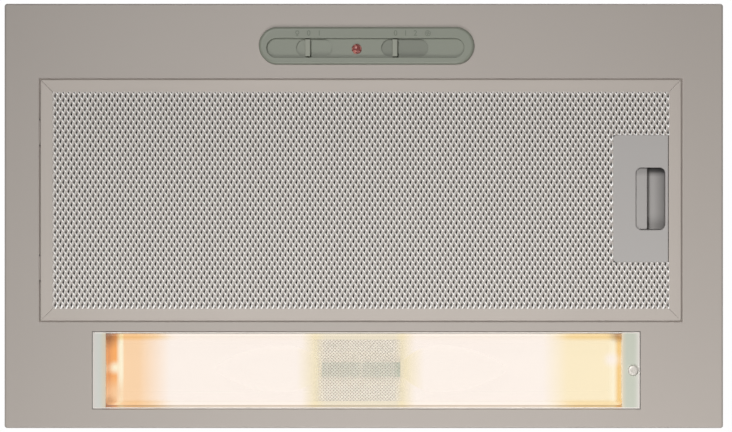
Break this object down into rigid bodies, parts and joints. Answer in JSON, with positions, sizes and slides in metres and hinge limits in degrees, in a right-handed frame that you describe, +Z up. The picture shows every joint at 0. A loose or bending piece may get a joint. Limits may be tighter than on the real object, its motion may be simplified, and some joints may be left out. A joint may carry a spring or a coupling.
{
  "type": "built-in range hood",
  "caption": "Built-in canopy hood with a flush face panel, a hinged grease filter, a lamp under a clear cover, slide switches and a blower in a sheet casing.",
  "frame": {"origin": "centre of the plane where the face panel's hem meets the cabinet floor", "axes": "+Z up into the cabinet, X across the hood, the front edge with the controls towards -Y"},
  "size_m": [0.53, 0.313, 0.2566],
  "materials": {
    "panel_paint": "satin warm grey paint",
    "galvanised": "galvanised sheet",
    "filter_aluminium": "anodised, satin",
    "filter_wool": "expanded aluminium wool",
    "handle_plastic": "fine grained grey",
    "bezel_plastic": "satin grey-green",
    "clear_plastic": "clear moulded",
    "pilot_red": "faceted clear red",
    "bulb_glass": "satin glass",
    "cap_metal": "rolled thread",
    "reflector": "bright reflector sheet",
    "socket_plastic": "pale grey-green",
    "switch_plastic": "black",
    "scroll_plastic": "mid grey moulding",
    "collar_plastic": "black moulding",
    "motor_steel": "laminated steel",
    "bright_steel": "bright zinc",
    "spring_steel": "spring steel",
    "copper": "enamelled copper"
  },
  "bodies": {
    "housing": {"face_panel": "panel_paint", "casing_left": "galvanised", "casing_right": "galvanised", "casing_front": "galvanised", "casing_back": "galvanised", "top_plate": "galvanised", "casing_screws": "bright_steel", "mounting_clips": "spring_steel", "control_bezel": "bezel_plastic", "switch_box": "switch_plastic", "light_switch": "switch_plastic", "fan_switch": "switch_plastic", "pilot_lens": "pilot_red", "lamp_tray": "reflector", "lamp_holder_bracket": "bright_steel", "lamp_holder_left": "socket_plastic", "lamp_holder_right": "socket_plastic", "bulb_glass_left": "bulb_glass", "bulb_cap_left": "cap_metal", "bulb_glass_right": "bulb_glass", "bulb_cap_right": "cap_metal", "cover_nut": "bright_steel", "filter_catch_spring": "spring_steel", "scroll_left": "scroll_plastic", "scroll_right": "scroll_plastic", "scroll_screws": "bright_steel", "motor_bracket": "bright_steel", "motor_stator": "motor_steel", "motor_windings": "copper", "motor_cap_inner": "cap_metal", "motor_cap_outer": "cap_metal", "motor_bearings": "bright_steel", "capacitor": "socket_plastic", "capacitor_clip": "bright_steel", "terminal_box": "switch_plastic", "terminal_cover": "switch_plastic", "cable_gland": "collar_plastic", "outlet_collar": "collar_plastic", "duct_reducer": "collar_plastic", "collar_screws": "bright_steel", "flap_pin": "bright_steel"},
    "fan": {"impeller": "scroll_plastic", "motor_shaft": "bright_steel", "motor_rotor": "motor_steel"},
    "light_knob": {"light_slider": "bezel_plastic"},
    "fan_knob": {"fan_slider": "bezel_plastic"},
    "filter": {"filter_rail_left": "filter_aluminium", "filter_rail_right": "filter_aluminium", "filter_rail_front": "filter_aluminium", "filter_rail_back": "filter_aluminium", "filter_mesh": "filter_aluminium", "filter_media": "filter_wool", "filter_back_mesh": "filter_aluminium", "filter_handle": "handle_plastic", "latch_spring": "spring_steel"},
    "latch": {"latch_slide": "handle_plastic"},
    "lamp_lid": {"lamp_cover": "clear_plastic"},
    "lid_screw": {"cover_screw": "bright_steel"},
    "front_flap": {"flap_front": "collar_plastic"},
    "rear_flap": {"flap_rear": "collar_plastic"}
  },
  "joints": [
    {"name": "fan_spin", "type": "hinge", "parent": "housing", "child": "fan", "pos_m": [0, -0.0525, 0.094], "axis": [1, 0, 0], "continuous": true},
    {"name": "light_switch_slide", "type": "slide", "parent": "housing", "child": "light_knob", "axis": [1, 0, 0], "range_m": [0, 0.0075]},
    {"name": "fan_switch_slide", "type": "slide", "parent": "housing", "child": "fan_knob", "axis": [1, 0, 0], "range_m": [0, 0.015]},
    {"name": "filter_hinge", "type": "hinge", "parent": "housing", "child": "filter", "pos_m": [-0.2378, -0.01155, -0.0112], "axis": [0, 1, 0], "range_deg": [0, 75], "deforming": ["filter_catch_spring"]},
    {"name": "filter_latch", "type": "slide", "parent": "filter", "child": "latch", "axis": [-1, 0, 0], "range_m": [0, 0.006], "stiffness_N_per_m": 300, "springref_m": -0.003, "deforming": ["latch_spring"]},
    {"name": "lamp_cover_hinge", "type": "hinge", "parent": "housing", "child": "lamp_lid", "pos_m": [-0.1991, 0.11385, -0.0122], "axis": [0, 1, 0], "range_deg": [0, 80]},
    {"name": "cover_screw_turn", "type": "hinge", "parent": "lamp_lid", "child": "lid_screw", "pos_m": [0.1984, 0.11385, -0.013], "axis": [0, 0, 1], "continuous": true},
    {"name": "flap_front_hinge", "type": "hinge", "parent": "housing", "child": "front_flap", "pos_m": [0, 0, 0.212], "axis": [-1, 0, 0], "range_deg": [0, 75]},
    {"name": "flap_rear_hinge", "type": "hinge", "parent": "housing", "child": "rear_flap", "pos_m": [0, 0, 0.212], "axis": [1, 0, 0], "range_deg": [0, 75]}
  ]
}
